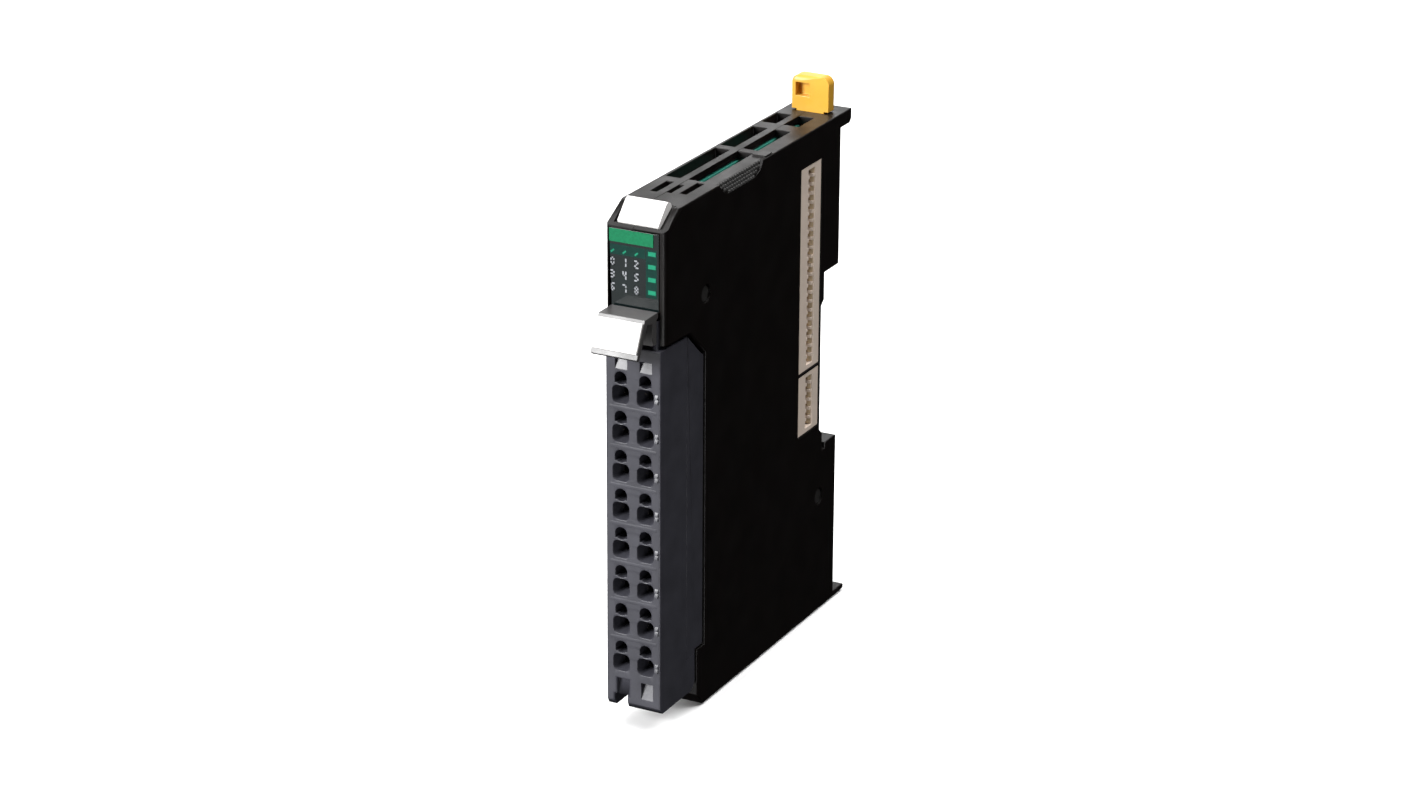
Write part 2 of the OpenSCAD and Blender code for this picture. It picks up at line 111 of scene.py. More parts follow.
def make_lights():
    # soft daylight from the front left, and an overhead panel for the floor and the top faces
    area_light("key", (-0.75, -1.15, 0.55), (0.6, 0.6), 44)
    area_light("top", (0.1, 0.1, 1.3), (1.8, 1.8), 42)
    # cards in place of the table's reflection, for the front faces and the round of the right edge
    area_light("front_card", (-0.45, -1.0, -0.42), (0.8, 0.5), 2.2)
    area_light("edge_card", (0.42, -0.95, -0.36), (0.34, 0.5), 3.0)
    # small panel behind, mirrored by the rear of the top and by the hook
    area_light("rear", (-0.165, 0.42, 0.175), (0.2, 0.11), 0.22)
    # panel on the right, mirrored by the rounds of the right-hand edges
    area_light("rim_card", (0.70, 0.30, 0.85), (0.3, 0.3), 2.6)
    # faint fill for the right side
    area_light("side", (0.9, -0.9, 0.5), (0.6, 0.6), 0.12)
    world = bpy.data.worlds.new("world")
    bpy.context.scene.world = world
    world.use_nodes = True
    background = world.node_tree.nodes["Background"]
    background.inputs["Color"].default_value = (1, 1, 1, 1)
    background.inputs["Strength"].default_value = WORLD_STRENGTH


FLOOR_GAP = 0.4
FLOOR_HALF_M = 4


def make_floor():
    low = at(0, 0, -FLOOR_GAP).z
    size = FLOOR_HALF_M
    mesh = bpy.data.meshes.new("floor")
    mesh.from_pydata([(-size, -size, low), (size, -size, low), (size, size, low), (-size, size, low)], [],
                     [(0, 1, 2, 3)])
    floor = bpy.data.objects.new("floor", mesh)
    bpy.context.scene.collection.objects.link(floor)
    material = bpy.data.materials.new("floor")
    material.use_nodes = True
    shader = material.node_tree.nodes["Principled BSDF"]
    shader.inputs["Base Color"].default_value = (0.97, 0.97, 0.97, 1)
    shader.inputs["Roughness"].default_value = 0.9
    shader.inputs["Specular IOR Level"].default_value = 0.1
    mesh.materials.append(material)
    # the floor is a backdrop only: it stays out of the gloss and the shade of the sides
    floor.visible_glossy = False
    floor.visible_diffuse = False
    floor.visible_shadow = False


make_camera()
make_lights()
make_floor()
bpy.context.scene.view_settings.view_transform = "Standard"

# ---------------------------------------------------------------- materials

class Surface:
    """A Principled material, and the few node chains that the finishes share."""

    def __init__(self, name, roughness=0.5, metallic=0.0, specular=0.5):
        self.material = bpy.data.materials.new(name)
        self.material.use_nodes = True
        self.nodes = self.material.node_tree.nodes
        self.links = self.material.node_tree.links
        self.shader = self.nodes["Principled BSDF"]
        self.shader.inputs["Roughness"].default_value = roughness
        self.shader.inputs["Metallic"].default_value = metallic
        self.shader.inputs["Specular IOR Level"].default_value = specular
        self.place = self.nodes.new("ShaderNodeTexCoord").outputs["Object"]

    def stretched(self, scale):
        mapping = self.nodes.new("ShaderNodeMapping")
        mapping.inputs["Scale"].default_value = scale
        self.links.new(self.place, mapping.inputs["Vector"])
        return mapping.outputs["Vector"]

    def noise(self, size_mm, detail=3, vector=None):
        """Soft noise whose blotches are about size_mm across."""
        node = self.nodes.new("ShaderNodeTexNoise")
        node.inputs["Scale"].default_value = 1 / (size_mm * MM)
        node.inputs["Detail"].default_value = detail
        self.links.new(vector or self.place, node.inputs["Vector"])
        return node.outputs["Fac"]

    def ramp(self, value, stops):
        node = self.nodes.new("ShaderNodeValToRGB")
        elements = node.color_ramp.elements
        while len(elements) < len(stops):
            elements.new(0.5)
        for element, (position, colour) in zip(elements, stops):
            element.position = position
            element.color = (*colour, 1)
        self.links.new(value, node.inputs["Fac"])
        return node.outputs["Color"]

    def mottle(self, colour, spread, size_mm=4, value=None):
        """The colour, a little lighter and darker in blotches."""
        dark = [c * (1 - spread) for c in colour]
        light = [min(1, c * (1 + spread)) for c in colour]
        value = value or self.noise(size_mm, 4)
        self.links.new(self.ramp(value, [(0.32, dark), (0.68, light)]), self.shader.inputs["Base Color"])

    def gloss(self, low, high, size_mm=6, vector=None):
        node = self.nodes.new("ShaderNodeMapRange")
        node.inputs["From Min"].default_value = 0.3
        node.inputs["From Max"].default_value = 0.7
        node.inputs["To Min"].default_value = low
        node.inputs["To Max"].default_value = high
        self.links.new(self.noise(size_mm, 5, vector), node.inputs["Value"])
        self.links.new(node.outputs["Result"], self.shader.inputs["Roughness"])

    def relief(self, height, depth_mm, strength=1.0):
        node = self.nodes.new("ShaderNodeBump")
        node.inputs["Strength"].default_value = strength
        node.inputs["Distance"].default_value = depth_mm * MM
        self.links.new(height, node.inputs["Height"])
        self.links.new(node.outputs["Normal"], self.shader.inputs["Normal"])


def moulded(name, colour, gloss, specular=0.5, spread=0.08, grain_mm=0.12, depth_mm=0.01):
    """Moulded plastic with the fine spark-eroded grain of its tool and slightly uneven gloss."""
    s = Surface(name, specular=specular)
    s.mottle(colour, spread)
    s.gloss(*gloss)
    s.relief(s.noise(grain_mm, 2), depth_mm)
    return s.material


def printed(name, colour, roughness=0.45):
    """Ink or film: flat colour with the faint unevenness of a print."""
    s = Surface(name, specular=0.12)
    s.mottle(colour, 0.12, 0.6)
    s.gloss(roughness * 0.8, roughness * 1.2, 1.5)
    s.relief(s.noise(0.08, 2), 0.004)
    return s.material


def rolled(name, colour, gloss, streak=(1, 1, 0.08), depth_mm=0.004, metallic=1.0):
    """Strip metal with rolling marks and a little tarnish."""
    s = Surface(name, metallic=metallic)
    along = s.stretched(streak)
    s.mottle(colour, 0.14, 1.2)
    s.gloss(*gloss, 0.3, along)
    s.relief(s.noise(0.05, 3, along), depth_mm)
    return s.material


def ceramic(name, colour, roughness):
    """Fired or pressed body with speckles."""
    s = Surface(name, roughness=roughness)
    s.mottle(colour, 0.3, 0.25)
    s.gloss(roughness * 0.85, min(1, roughness * 1.15), 0.8)
    s.relief(s.noise(0.1, 4), 0.012)
    return s.material


def smoked(name):
    """Smoked window: glossy and nearly black, with a breath of green in its depth."""
    s = Surface(name, specular=0.22)
    s.mottle((0.004, 0.0075, 0.0078), 0.25, 5)
    s.gloss(0.1, 0.2, 5)
    s.relief(s.noise(2.5, 2), 0.004)
    return s.material


def solder_mask(name):
    """Green mask over copper tracks, which show as slightly raised lighter runs."""
    s = Surface(name, specular=0.5)
    cells = s.nodes.new("ShaderNodeTexVoronoi")
    cells.feature = "F1"
    cells.distance = "MANHATTAN"
    cells.inputs["Scale"].default_value = 1 / (2.4 * MM)
    s.links.new(s.place, cells.inputs["Vector"])
    waves = s.nodes.new("ShaderNodeMath")
    waves.operation = "PINGPONG"
    waves.inputs[1].default_value = 0.09
    s.links.new(cells.outputs["Distance"], waves.inputs[0])
    tracks = s.nodes.new("ShaderNodeMapRange")
    tracks.inputs["From Min"].default_value = 0.035
    tracks.inputs["From Max"].default_value = 0.055
    s.links.new(waves.outputs[0], tracks.inputs["Value"])
    colours = [(0.0, (0.018, 0.15, 0.115)), (1.0, (0.05, 0.36, 0.27))]
    s.links.new(s.ramp(tracks.outputs["Result"], colours), s.shader.inputs["Base Color"])
    s.gloss(0.25, 0.4, 3)
    s.relief(tracks.outputs["Result"], 0.03)
    return s.material


LOOKS = {
    "case_plastic": moulded("case_plastic", (0.0030, 0.0020, 0.0018), (0.34, 0.46), 0.30, 0.2),
    "window_smoke": smoked("window_smoke"),
    "label_green": printed("label_green", (0.007, 0.135, 0.058), 0.6),
    "lens_clear": moulded("lens_clear", (0.62, 0.66, 0.68), (0.08, 0.16), 0.5, 0.03, 1.0, 0.004),
    "led_lens": moulded("led_lens", (0.6, 0.66, 0.5), (0.1, 0.2), 0.5, 0.05, 0.6, 0.004),
    "marker_white": moulded("marker_white", (0.70, 0.685, 0.675), (0.42, 0.55), 0.4, 0.02, 0.1, 0.006),
    "board_green": solder_mask("board_green"),
    "header_black": moulded("header_black", (0.012, 0.012, 0.014), (0.4, 0.55), 0.4, 0.15),
    "tinned_metal": rolled("tinned_metal", (0.62, 0.6, 0.56), (0.22, 0.38)),
    "bus_cream": moulded("bus_cream", (0.70, 0.59, 0.50), (0.42, 0.58), 0.4, 0.05, 0.1, 0.012),
    "contact_gold": rolled("contact_gold", (0.56, 0.43, 0.28), (0.4, 0.55), metallic=0.45),
    "chip_black": ceramic("chip_black", (0.016, 0.016, 0.017), 0.55),
    "capacitor_tan": ceramic("capacitor_tan", (0.33, 0.2, 0.1), 0.42),
    "ferrite_grey": ceramic("ferrite_grey", (0.03, 0.03, 0.033), 0.6),
    "can_aluminium": rolled("can_aluminium", (0.66, 0.67, 0.69), (0.25, 0.4), (1, 1, 0.1)),
    "hook_yellow": moulded("hook_yellow", (0.62, 0.325, 0.035), (0.30, 0.42), 0.4, 0.05, 0.1, 0.006),
    "block_grey": moulded("block_grey", (0.038, 0.038, 0.047), (0.30, 0.44), 0.42, 0.12),
    "spring_steel": rolled("spring_steel", (0.6, 0.6, 0.62), (0.16, 0.3)),
    "bar_copper": rolled("bar_copper", (0.72, 0.58, 0.38), (0.22, 0.36)),
    "lever_grey": moulded("lever_grey", (0.055, 0.053, 0.053), (0.30, 0.42), 0.5, 0.08),
}
INK_GREY = printed("ink_grey", (0.27, 0.28, 0.30))
INK_GREEN = printed("ink_green", (0.012, 0.2, 0.11))
INK_DIM = printed("ink_dim", (0.003, 0.026, 0.02))
# finger-scoop grip: a real texture, with its colour painted much lighter than the case plastic as a highlight
GRIP_PAINTED_HIGHLIGHT = moulded("grip", (0.042, 0.041, 0.040), (0.35, 0.5), 0.5, 0.3)
# ejector marks: glossier, and painted lighter than the case plastic as a highlight on the dimples
EJECTOR_PAINTED_HIGHLIGHT = moulded("ejector_mark_painted_highlight", (0.022, 0.021, 0.02), (0.25, 0.35), 0.5, 0.2)
COPPER_RUN = printed("copper_run", (0.03, 0.30, 0.21), 0.4)
WINDING = rolled("winding", (0.6, 0.3, 0.14), (0.3, 0.45))

# ---------------------------------------------------------------- mesh helpers

def box(b, x, y, z):
    """Adds a box between two limits on each axis and returns its corners."""
    corners = [b.verts.new((x[i & 1], y[i >> 1 & 1], z[i >> 2])) for i in range(8)]
    for f in ((0, 2, 3, 1), (4, 5, 7, 6), (0, 1, 5, 4), (2, 6, 7, 3), (0, 4, 6, 2), (1, 3, 7, 5)):
        b.faces.new([corners[i] for i in f])
    return corners


def loft(b, rings):
    """Adds a closed solid through rings of points, each with the same number of points."""
    loops = [[b.verts.new(p) for p in ring] for ring in rings]
    n = len(loops[0])
    for lower, upper in zip(loops, loops[1:]):
        for i in range(n):
            b.faces.new((lower[i], lower[(i + 1) % n], upper[(i + 1) % n], upper[i]))
    b.faces.new(loops[0][::-1])
    b.faces.new(loops[-1])


def prism_x(b, x, outline):
    """Adds an outline of (y, z) points, extruded from x[0] to x[1]."""
    loft(b, [[(v, y, z) for y, z in outline] for v in x])


def arc(centre, radius, start, stop, steps):
    """Points on an arc, as pairs, with its angles in degrees."""
    angles = [math.radians(start + (stop - start) * i / steps) for i in range(steps + 1)]
    return [(centre[0] + radius * math.cos(a), centre[1] + radius * math.sin(a)) for a in angles]


def bevel(b, radius, segments=2, chosen=None, sharper_than=25):
    """Rounds the chosen edges, or every edge sharper than an angle."""
    limit = math.radians(sharper_than)
    edges = [e for e in b.edges if len(e.link_faces) == 2 and e.calc_face_angle(0) > limit
             and (chosen is None or chosen(e))]
    if edges:
        bmesh.ops.bevel(b, geom=edges, offset=radius, segments=segments, profile=0.5, affect="EDGES",
                        clamp_overlap=False)


def roomy(e, least=0.45):
    """Whether an edge is long and both its faces are wide enough to be rounded safely."""
    if e.calc_length() < least:
        return False
    return all(f.calc_area() / max(x.calc_length() for x in f.edges) > least for f in e.link_faces)


def cad_mesh(node):
    """The shape of a CAD node in the drawing's millimetres, with its flat faces made whole."""
    b = bmesh.new()
    b.from_mesh(frame["nodes"][node].data)
    b.transform(BACK)
    bmesh.ops.remove_doubles(b, verts=b.verts, dist=1e-3)
    bmesh.ops.dissolve_limit(b, angle_limit=math.radians(1), verts=b.verts, edges=b.edges)
    return b


def islands(node):
    """Lowest and highest corner of each separate solid of a node."""
    b = cad_mesh(node)
    left = set(b.verts)
    found = []
    while left:
        group = [left.pop()]
        for v in group:
            for e in v.link_edges:
                other = e.other_vert(v)
                if other in left:
                    left.discard(other)
                    group.append(other)
        found.append(tuple(Vector(pick(v.co[i] for v in group) for i in range(3)) for pick in (min, max)))
    b.free()
    return sorted(found, key=lambda pair: tuple(pair[0]))


def finish(b, name, slot, body, nodes=(), material=None, weighted=True, sharp=42):
    """Turns a drawn shape into a piece of the object."""
    bmesh.ops.recalc_face_normals(b, faces=b.faces)
    b.transform(PLACE)
    mesh = bpy.data.meshes.new(name)
    b.to_mesh(mesh)
    b.free()
    piece = bpy.data.objects.new(name, mesh)
    bpy.context.scene.collection.objects.link(piece)
    mesh.shade_smooth()
    mesh.set_sharp_from_angle(angle=math.radians(sharp))
    mesh.materials.append(material or LOOKS[slot])
    if weighted:
        normals = piece.modifiers.new("even_shading", "WEIGHTED_NORMAL")
        normals.keep_sharp = True
    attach(piece, body)
    if nodes:
        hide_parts(*nodes)
    return piece


def from_cad(node, radius=0.12, segments=2):
    """A piece with the shape of a CAD node and softened edges."""
    b = cad_mesh(node)
    bevel(b, radius, segments, roomy)
    return finish(b, node + "_piece", SLOT[node], BODY[node], [node])


def on_plane(e, axis, value, slack=0.02):
    return all(abs(v.co[axis] - value) < slack for v in e.verts)


# ---------------------------------------------------------------- case

PANEL_TOP = 96.8
CASE_X = limits("case_right")[1].x
CASE_TOP = limits("case_right")[1].z
BUS_LOW, BUS_HIGH = limits("bus_socket_short")[0], limits("bus_socket_long")[1]


def by_bus(e):
    """Whether an edge belongs to the windows of the bus connectors."""
    return all(BUS_LOW.y - 0.3 < v.co.y < BUS_HIGH.y + 0.3 and BUS_LOW.z - 0.3 < v.co.z < BUS_HIGH.z + 0.3
               for v in e.verts)


def case_half(node, side):
    """A case half: a full round down the panel's outer edge, smaller rounds round the side."""
    b = cad_mesh(node)
    x = side * CASE_X

    def front_edge(e):
        return on_plane(e, 0, x) and on_plane(e, 1, 0) and e.calc_length() > 5

    def rim(e):
        return on_plane(e, 0, x) and e.calc_length() > 0.9 and not by_bus(e) and roomy(e, 0.8)

    def slope(e):
        return on_plane(e, 0, x) and all(v.co.z > PANEL_TOP - 0.05 and v.co.y < 5.5 for v in e.verts)

    def top_left(e):
        return side < 0 and on_plane(e, 0, x) and on_plane(e, 2, CASE_TOP) and e.calc_length() > 5

    bevel(b, 1.05 if side > 0 else 0.6, 5, front_edge)
    bevel(b, 0.75, 4, slope)
    bevel(b, 0.55, 4, top_left)
    bevel(b, 0.3, 3, rim)
    bevel(b, 0.1, 2, lambda e: roomy(e, 0.6), 40)
    finish(b, node + "_piece", SLOT[node], BODY[node], [node])


case_half("case_left", -1)
case_half("case_right", 1)

SCOOP_LOW = 97.3
SCOOP_TILT = math.radians(14)
GRIP_ROWS, GRIP_COLUMNS = 4, 19
GRIP_PITCH_UP, GRIP_PITCH_Y = 0.66, 0.95
DIMPLES = ((15.4, 81), (63.6, 24.2))
PAD_X, PAD_Y = (3.1, 5.75), (39.2, 41.9)
SCOOP_OUTLINE = ((19.8, 3.6), (21.6, 1), (24, 0), (34, 0), (36.8, 1), (38.6, 3.6))


def scoop_floor(y):
    """Lowest height of the scoop's sloping face at y, measured up the slope."""
    for (y0, z0), (y1, z1) in zip(SCOOP_OUTLINE, SCOOP_OUTLINE[1:]):
        if y0 <= y <= y1:
            return z0 + (z1 - z0) * (y - y0) / (y1 - y0)
    return 9


def grip():
    """Small pyramids that roughen the finger scoop, in a plastic painted much lighter than the case as a
    highlight on the texture.
    """
    b = bmesh.new()

    def on_face(y, up, out):
        return (CASE_X - up * math.sin(SCOOP_TILT) + out * math.cos(SCOOP_TILT), y,
                SCOOP_LOW + up * math.cos(SCOOP_TILT) + out * math.sin(SCOOP_TILT))

    for row in range(GRIP_ROWS):
        up = 0.45 + row * GRIP_PITCH_UP
        for column in range(GRIP_COLUMNS):
            y = 20.7 + column * GRIP_PITCH_Y + (row % 2) * 0.47
            if scoop_floor(y) > up - 0.36:
                continue
            # half-width of the pyramid at each height above the face
            rings = ((0.44, -0.02), (0.42, 0.03), (0.12, 0.2))
            loft(b, [[on_face(y + a * half, up + c * half * 0.72, out)
                      for a, c in ((-1, -1), (1, -1), (1, 1), (-1, 1))] for half, out in rings])
    finish(b, "case_scoop_grip", "case_plastic", "case", material=GRIP_PAINTED_HIGHLIGHT, weighted=False)


def disc(b, centre, radius, x, rise):
    """Adds a shallow dome, facing along x."""
    rings = []
    for r, h in ((radius, 0), (radius * 0.96, rise * 0.5), (radius * 0.8, rise * 0.85), (radius * 0.4, rise)):
        rings.append([(x + h, centre[0] + r * math.cos(a), centre[1] + r * math.sin(a))
                      for a in (math.tau * i / 32 for i in range(32))])
    loft(b, rings)


def case_details():
    """Polished marks in the two dimples, painted lighter than the case plastic as a highlight, and a pad
    where the finger scoop ends.
    """
    b = bmesh.new()
    for centre in DIMPLES:
        disc(b, centre, 1.55, CASE_X - 0.42, 0.12)
    finish(b, "case_ejector_marks_painted_highlight", "case_plastic", "case", material=EJECTOR_PAINTED_HIGHLIGHT)
    b = bmesh.new()
    box(b, PAD_X, PAD_Y, (CASE_TOP - 0.2, CASE_TOP + 0.32))
    bevel(b, 0.24, 3)
    finish(b, "case_pad", "case_plastic", "case")


grip()
case_details()

# ---------------------------------------------------------------- indicator panel

SEGMENTS = {"a": ((0, 2), (1, 2)), "b": ((1, 2), (1, 1)), "c": ((1, 1), (1, 0)), "d": ((0, 0), (1, 0)),
            "e": ((0, 1), (0, 0)), "f": ((0, 2), (0, 1)), "g": ((0, 1), (1, 1))}
DIGITS = ["abcdef", "bc", "abged", "abgcd", "fgbc", "afgcd", "afgedc", "abc", "abcdefg"]


def stroke(b, y, start, stop, width):
    """Adds a flat bar between two (x, z) points, standing at y and facing forwards."""
    along = (Vector(stop) - Vector(start)).normalized() * (width / 2)
    across = Vector((-along.y, along.x))
    (x0, z0), (x1, z1) = Vector(start) - along, Vector(stop) + along
    ring = [(x0 + across.x, z0 + across.y), (x1 + across.x, z1 + across.y),
            (x1 - across.x, z1 - across.y), (x0 - across.x, z0 - across.y)]
    loft(b, [[(x, v, z) for x, z in ring] for v in (y - 0.015, y + 0.05)])


def numeral(b, value, centre, y, height, width):
    """Adds one upright digit with its middle at (x, z)."""
    x = centre[0] - height * 0.22
    for segment in DIGITS[value]:
        ends = [(x + p[0] * height * 0.44, centre[1] + (p[1] - 1) * height / 2)
                for p in SEGMENTS[segment]]
        stroke(b, y, *ends, width)


WINDOW_LOW = limits("indicator_window")[0]
LABEL_LOW = limits("label_strip")[0]
MARK_PITCH = 2.4
COLUMNS_X = [WINDOW_LOW.x + 0.7 + MARK_PITCH * i for i in range(3)]
ROWS_Z = [LABEL_LOW.z - 3.7 - MARK_PITCH * i for i in range(3)]
CHANNEL_X = COLUMNS_X[-1] + 3.1


def panel_print():
    """Channel numbers in rows, a small green mark over each column and one beside each row."""
    face = WINDOW_LOW.y
    b = bmesh.new()
    top, bottom = LABEL_LOW.z - 0.5, ROWS_Z[-1] - 1
    box(b, (COLUMNS_X[0] - 0.5, CHANNEL_X - 1.3), (face - 0.008, face + 0.05), (top - 1.9, top))
    box(b, (CHANNEL_X - 1.2, CHANNEL_X + 1), (face - 0.008, face + 0.05), (bottom, top))
    finish(b, "panel_tint", "window_smoke", "case", material=INK_DIM, weighted=False)
    b = bmesh.new()
    for row, z in enumerate(ROWS_Z):
        for column, x in enumerate(COLUMNS_X):
            numeral(b, row * 3 + column, (x, z), face, 1.25, 0.27)
    finish(b, "panel_numbers", "window_smoke", "case", material=INK_GREY, weighted=False)
    b = bmesh.new()
    for x in COLUMNS_X:
        stroke(b, face, (x - 0.2, ROWS_Z[0] + 1.75), (x + 0.2, ROWS_Z[0] + 2.1), 0.3)
    for z in [ROWS_Z[0] + MARK_PITCH] + ROWS_Z:
        stroke(b, face, (CHANNEL_X - 0.35, z), (CHANNEL_X + 0.35, z), 0.8)
    finish(b, "panel_marks", "window_smoke", "case", material=INK_GREEN, weighted=False)


panel_print()

# ---------------------------------------------------------------- terminal block

SOFT = 0.12
FRONT_ROUND = 0.45
MOUTH_HALF = 1.68
MOUTH_ROUND = 1.0


def boundary_loops(b):
    """Closed runs of vertices round the open edges, in the same order each time."""
    left = dict.fromkeys(e for e in b.edges if len(e.link_faces) == 1)
    loops = []
    while left:
        edge = next(iter(left))
        del left[edge]
        run = [edge.verts[0], edge.verts[1]]
        while run[-1] is not run[0]:
            edge = next(e for e in run[-1].link_edges if e in left)
            del left[edge]
            run.append(edge.other_vert(run[-1]))
        loops.append(run[:-1])
    return loops


def len_round(run):
    """Length of the way round a closed run of vertices."""
    return sum((run[i].co - run[i - 1].co).length for i in range(len(run)))


def offset_ring(points, distance):
    """The (x, z) points of a closed outline, moved inwards along the mitres of its corners."""
    count = len(points)
    turn = sum(points[i - 1].cross(points[i]) for i in range(count))
    sign = 1 if turn > 0 else -1
    moved = []
    for i in range(count):
        before = (points[i] - points[i - 1]).normalized()
        after = (points[(i + 1) % count] - points[i]).normalized()
        normals = [Vector((-d.y, d.x)) * sign for d in (before, after)]
        mitre = (normals[0] + normals[1]).normalized()
        moved.append(points[i] + mitre * (distance / max(0.4, mitre.dot(normals[0]))))
    return moved


def strip(b, lower, upper):
    """Joins two rings with the same number of vertices."""
    for i in range(len(lower)):
        j = (i + 1) % len(lower)
        b.faces.new((lower[i], lower[j], upper[j], upper[i]))


def softened(b, run, depth, radius, steps, inwards):
    """Sets an outline on a flat face back by depth and rounds it over on to the face again."""
    y = run[0].co.y
    flat = [Vector((v.co.x, v.co.z)) for v in run]
    for v in run:
        v.co.y = y + depth
    ring = run
    for i in range(1, steps + 1):
        angle = math.pi / 2 * i / steps
        moved = offset_ring(flat, inwards * radius * (1 - math.cos(angle)))
        rise = depth * (1 - math.sin(angle))
        fresh = [b.verts.new((p.x, y + rise, p.y)) for p in moved]
        strip(b, ring, fresh)
        ring = fresh
    return ring


def round_square(centre, half, radius, y, steps=5):
    """Points of a square with round corners, in the plane at y."""
    points = []
    for i, (sx, sz) in enumerate(((1, 1), (-1, 1), (-1, -1), (1, -1))):
        middle = (centre.x + sx * (half - radius), centre.z + sz * (half - radius))
        points += [(x, y, z) for x, z in arc(middle, radius, i * 90, i * 90 + 90, steps)]
    return points


def block_housing():
    """The front shell. Its face is drawn anew, with round-cornered funnels and soft edges."""
    b = cad_mesh("block_housing")
    face_y = limits("block_housing")[0].y
    b.normal_update()

    def is_funnel(f):
        ys = [v.co.y for v in f.verts]
        return (min(ys) < face_y + 0.02 and face_y + 2 < max(ys) < face_y + 2.6
                and 0.1 < abs(f.normal.y) < 0.5 and all(abs(v.co.x) < 5.1 for v in f.verts))

    gone = [f for f in b.faces if all(abs(v.co.y - face_y) < 0.01 for v in f.verts) or is_funnel(f)]
    bmesh.ops.delete(b, geom=gone, context="FACES")
    rings = []
    loops = boundary_loops(b)
    on_face = [run for run in loops if all(abs(v.co.y - face_y) < 0.01 for v in run)]
    throats = [run for run in loops if run not in on_face]
    outer = max(on_face, key=len_round)
    for run in on_face:
        if run is outer:
            rings.append(softened(b, run, FRONT_ROUND, FRONT_ROUND, 4, 1))
        else:
            rings.append(softened(b, run, SOFT, SOFT, 2, -1))
    for run in throats:
        centre = sum((v.co for v in run), Vector()) / len(run)
        profile = ((1.28, 0.9, 1.7), (MOUTH_HALF - 0.08, MOUTH_ROUND, 0.5), (MOUTH_HALF, MOUTH_ROUND, SOFT),
                   (MOUTH_HALF + SOFT * 0.3, MOUTH_ROUND, SOFT * 0.3),
                   (MOUTH_HALF + SOFT, MOUTH_ROUND + SOFT, 0))
        drawn = [[b.verts.new(p) for p in round_square(centre, half, radius, face_y + depth)]
                 for half, radius, depth in profile]
        for lower, upper in zip(drawn, drawn[1:]):
            strip(b, lower, upper)
        rings.append(drawn[-1])
        edges = [b.edges.get((r[i - 1], r[i])) for r in (drawn[0], run) for i in range(len(r))]
        bmesh.ops.bridge_loops(b, edges=edges)
    edges = [b.edges.get((r[i - 1], r[i])) for r in rings for i in range(len(r))]
    bmesh.ops.triangle_fill(b, use_beauty=True, use_dissolve=False, edges=edges, normal=(0, -1, 0))
    bevel(b, 0.14, 2, lambda e: roomy(e, 0.5) and min(v.co.y for v in e.verts) > face_y + 3)
    finish(b, "block_housing_piece", "block_grey", "block", ["block_housing"])


def block_ridges():
    """Low ridges across the face between the rows, and keys beside the right-hand funnels."""
    low, high = limits("clamp_springs")
    rows = sorted({round((p.z + q.z) / 2, 2) for p, q in islands("clamp_springs")})
    face_y = limits("block_housing")[0].y
    b = bmesh.new()
    for z in rows:
        top = z + 3.05
        if z < rows[-1]:
            prism_x(b, (low.x - 1.2, high.x + 1.2),
                    [(face_y + 0.03, top - 0.4), (face_y - 0.03, top - 0.36), (face_y - 0.06, top - 0.1),
                     (face_y - 0.05, top + 0.15), (face_y + 0.03, top + 0.4)])
        for foot in (z - 2.5, z - 1.65):
            prism_x(b, (4.5, 5.08), [(face_y + 0.03, foot - 0.1), (face_y - 0.33, foot),
                                     (face_y - 0.33, foot + 0.06), (face_y + 0.03, foot + 0.84)])
    bevel(b, 0.04, 2)
    finish(b, "block_ridges", "block_grey", "block")


block_housing()
block_ridges()

# ---------------------------------------------------------------- bus connectors

def contact_heights(node):
    """Middles of the separate contacts of a node, from the bottom up."""
    b = cad_mesh(node)
    found = sorted({round(f.calc_center_median().z, 2) for f in b.faces if abs(f.normal.y) > 0.9})
    b.free()
    return found


def bus_contacts():
    """Contacts of the sockets: pairs of broad blades whose tips lead in at the mouth."""
    low, high = limits("bus_socket_contacts")
    middle = (low.y + high.y) / 2
    half = (high.y - low.y) / 2 - 0.01
    b = bmesh.new()
    for z in contact_heights("bus_socket_contacts"):
        for side in (-1, 1):
            outline = [(low.x, half), (high.x + 0.1, half), (high.x + 0.1, half - 0.2),
                       (high.x - 0.3, half - 0.62), (high.x - 1, half - 0.62), (low.x, half - 0.4)]
            ring = [(x, middle + side * y) for x, y in outline]
            loft(b, [[(x, y, v) for x, y in ring] for v in (z - 0.5, z + 0.5)])
    finish(b, "bus_socket_contacts_piece", "contact_gold", "case", ["bus_socket_contacts"])


def bus_socket(node):
    """A socket's housing, with the ribs that part its contacts and a lead-in round its slot."""
    b = cad_mesh(node)
    low, high = limits(node)
    slot_low, slot_high = limits("bus_socket_contacts")

    def mouth(e):
        return on_plane(e, 0, high.x) and all(slot_low.y - 0.1 < v.co.y < slot_high.y + 0.1 for v in e.verts)

    bevel(b, 0.22, 2, mouth)
    bevel(b, 0.15, 2, lambda e: roomy(e, 0.5) and not mouth(e))
    heights = [z for z in contact_heights("bus_socket_contacts") if low.z < z < high.z]
    for lower, upper in zip(heights, heights[1:]):
        middle = (lower + upper) / 2
        for y in ((slot_low.y - 0.05, slot_low.y + 0.72), (slot_high.y - 0.72, slot_high.y + 0.05)):
            box(b, (slot_low.x, slot_high.x + 0.2), y, (middle - 0.28, middle + 0.28))
    finish(b, node + "_piece", "bus_cream", "case", [node])


bus_contacts()
bus_socket("bus_socket_long")
bus_socket("bus_socket_short")

# ---------------------------------------------------------------- parts on the circuit board

RUN_FIRST_Y, RUN_PITCH, RUN_HALF = 40, 0.22, 0.06
HOLE_ROWS, HOLE_COLUMNS = 30, 14
HOLE_CLEARANCE = 0.6
BOARD_X = (limits("channel_isolators")[0].x - 0.02, limits("chip_capacitors")[1].x + 0.02)


